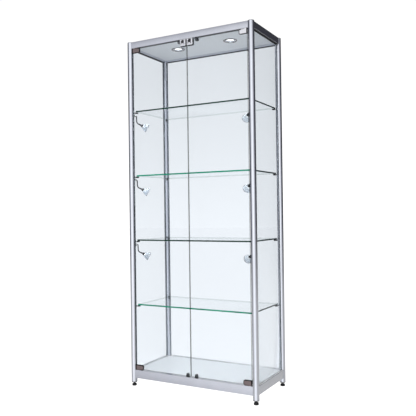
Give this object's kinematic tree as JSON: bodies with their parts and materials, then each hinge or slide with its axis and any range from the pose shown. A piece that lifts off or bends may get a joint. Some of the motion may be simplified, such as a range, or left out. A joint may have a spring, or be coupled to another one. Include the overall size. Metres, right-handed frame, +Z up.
{
  "type": "display cabinet",
  "caption": "Upright glass display cabinet with round aluminium posts, hinged glass doors, glass shelves, ceiling lamps, side spotlights and levelling feet.",
  "frame": {"origin": "on the floor, under the middle of the cabinet", "axes": "+Z up, +X to the viewer's right, -Y towards the viewer, out through the doors"},
  "size_m": [0.8, 0.4, 1.98],
  "materials": {
    "aluminium": "satin anodised",
    "cap_grey": "silver grey, slightly glossy",
    "black_plastic": "matt moulded",
    "white_board": "white melamine face",
    "clear_glass": "clear toughened glass with a faint green edge",
    "shelf_glass": "clear glass with green polished edges",
    "chrome": "polished",
    "arm_metal": "dark satin",
    "lamp_glass": "clear and frosted, glossy",
    "trim_ring": "polished dark nickel"
  },
  "bodies": {
    "frame": {"post_front_left": "aluminium", "post_cap_front_left": "cap_grey", "post_front_right": "aluminium", "post_cap_front_right": "cap_grey", "post_back_right": "aluminium", "post_cap_back_right": "cap_grey", "post_back_left": "aluminium", "post_cap_back_left": "cap_grey", "top_rail_front": "aluminium", "top_rail_back": "aluminium", "top_rail_left": "aluminium", "top_rail_right": "aluminium", "bottom_rail_front": "aluminium", "bottom_rail_back": "aluminium", "bottom_rail_left": "aluminium", "bottom_rail_right": "aluminium", "deck": "white_board", "ceiling": "white_board", "top_cover": "white_board", "glass_back": "clear_glass", "glass_left": "clear_glass", "glass_right": "clear_glass", "shelf_1": "shelf_glass", "shelf_2": "shelf_glass", "shelf_3": "shelf_glass", "shelf_4": "shelf_glass", "door_stop_left": "black_plastic", "downlight_left": "trim_ring", "lamp_arm_1_left": "arm_metal", "lamp_arm_2_left": "arm_metal", "lamp_arm_3_left": "arm_metal", "door_stop_right": "black_plastic", "downlight_right": "trim_ring", "lamp_arm_1_right": "arm_metal", "lamp_arm_2_right": "arm_metal", "lamp_arm_3_right": "arm_metal", "door_catch": "black_plastic", "lamp_driver": "black_plastic", "mains_inlet": "black_plastic"},
    "door_left": {"door_glass_left": "clear_glass", "pivot_clamp_top_left": "chrome", "pivot_clamp_bottom_left": "chrome", "strike_clip": "chrome"},
    "door_right": {"door_glass_right": "clear_glass", "pivot_clamp_top_right": "chrome", "pivot_clamp_bottom_right": "chrome", "lock_body": "chrome"},
    "lock_barrel": {"lock_barrel": "chrome"},
    "lock_bolt": {"lock_bolt": "chrome"},
    "foot_front_left": {"levelling_foot_front_left": "black_plastic"},
    "foot_front_right": {"levelling_foot_front_right": "black_plastic"},
    "foot_back_right": {"levelling_foot_back_right": "black_plastic"},
    "foot_back_left": {"levelling_foot_back_left": "black_plastic"},
    "lamp_head_1_left": {"lamp_head_1_left": "lamp_glass"},
    "lamp_head_1_right": {"lamp_head_1_right": "lamp_glass"},
    "lamp_head_2_left": {"lamp_head_2_left": "lamp_glass"},
    "lamp_head_2_right": {"lamp_head_2_right": "lamp_glass"},
    "lamp_head_3_left": {"lamp_head_3_left": "lamp_glass"},
    "lamp_head_3_right": {"lamp_head_3_right": "lamp_glass"}
  },
  "joints": [
    {"name": "door_left_hinge", "type": "hinge", "parent": "frame", "child": "door_left", "pos_m": [-0.3535, -0.1875, 1], "axis": [0, 0, -1], "range_deg": [0, 110]},
    {"name": "door_right_hinge", "type": "hinge", "parent": "frame", "child": "door_right", "pos_m": [0.3535, -0.1875, 1], "axis": [0, 0, 1], "range_deg": [0, 110]},
    {"name": "lock_barrel_turn", "type": "hinge", "parent": "door_right", "child": "lock_barrel", "pos_m": [0.0218, -0.1985, 1.9255], "axis": [0, -1, 0], "range_deg": [0, 90]},
    {"name": "lock_bolt_slide", "type": "slide", "parent": "door_right", "child": "lock_bolt", "axis": [-1, 0, 0], "range_m": [0, 0.012]},
    {"name": "foot_front_left_screw", "type": "slide", "parent": "frame", "child": "foot_front_left", "axis": [0, 0, -1], "range_m": [0, 0.01]},
    {"name": "foot_front_right_screw", "type": "slide", "parent": "frame", "child": "foot_front_right", "axis": [0, 0, -1], "range_m": [0, 0.01]},
    {"name": "foot_back_right_screw", "type": "slide", "parent": "frame", "child": "foot_back_right", "axis": [0, 0, -1], "range_m": [0, 0.01]},
    {"name": "foot_back_left_screw", "type": "slide", "parent": "frame", "child": "foot_back_left", "axis": [0, 0, -1], "range_m": [0, 0.01]},
    {"name": "lamp_1_left_tilt", "type": "hinge", "parent": "frame", "child": "lamp_head_1_left", "pos_m": [-0.34552, -0.14552, 1.503], "axis": [-0.7071, 0.7071, 0], "range_deg": [-40, 45]},
    {"name": "lamp_1_right_tilt", "type": "hinge", "parent": "frame", "child": "lamp_head_1_right", "pos_m": [0.34552, -0.14552, 1.503], "axis": [-0.7071, -0.7071, 0], "range_deg": [-40, 45]},
    {"name": "lamp_2_left_tilt", "type": "hinge", "parent": "frame", "child": "lamp_head_2_left", "pos_m": [-0.34552, -0.14552, 1.131], "axis": [-0.7071, 0.7071, 0], "range_deg": [-40, 45]},
    {"name": "lamp_2_right_tilt", "type": "hinge", "parent": "frame", "child": "lamp_head_2_right", "pos_m": [0.34552, -0.14552, 1.131], "axis": [-0.7071, -0.7071, 0], "range_deg": [-40, 45]},
    {"name": "lamp_3_left_tilt", "type": "hinge", "parent": "frame", "child": "lamp_head_3_left", "pos_m": [-0.34552, -0.14552, 0.759], "axis": [-0.7071, 0.7071, 0], "range_deg": [-40, 45]},
    {"name": "lamp_3_right_tilt", "type": "hinge", "parent": "frame", "child": "lamp_head_3_right", "pos_m": [0.34552, -0.14552, 0.759], "axis": [-0.7071, -0.7071, 0], "range_deg": [-40, 45]}
  ],
  "couplings": [
    {"joint": "lock_bolt_slide", "follows": "lock_barrel_turn", "m_per_rad": 0.00763}
  ]
}
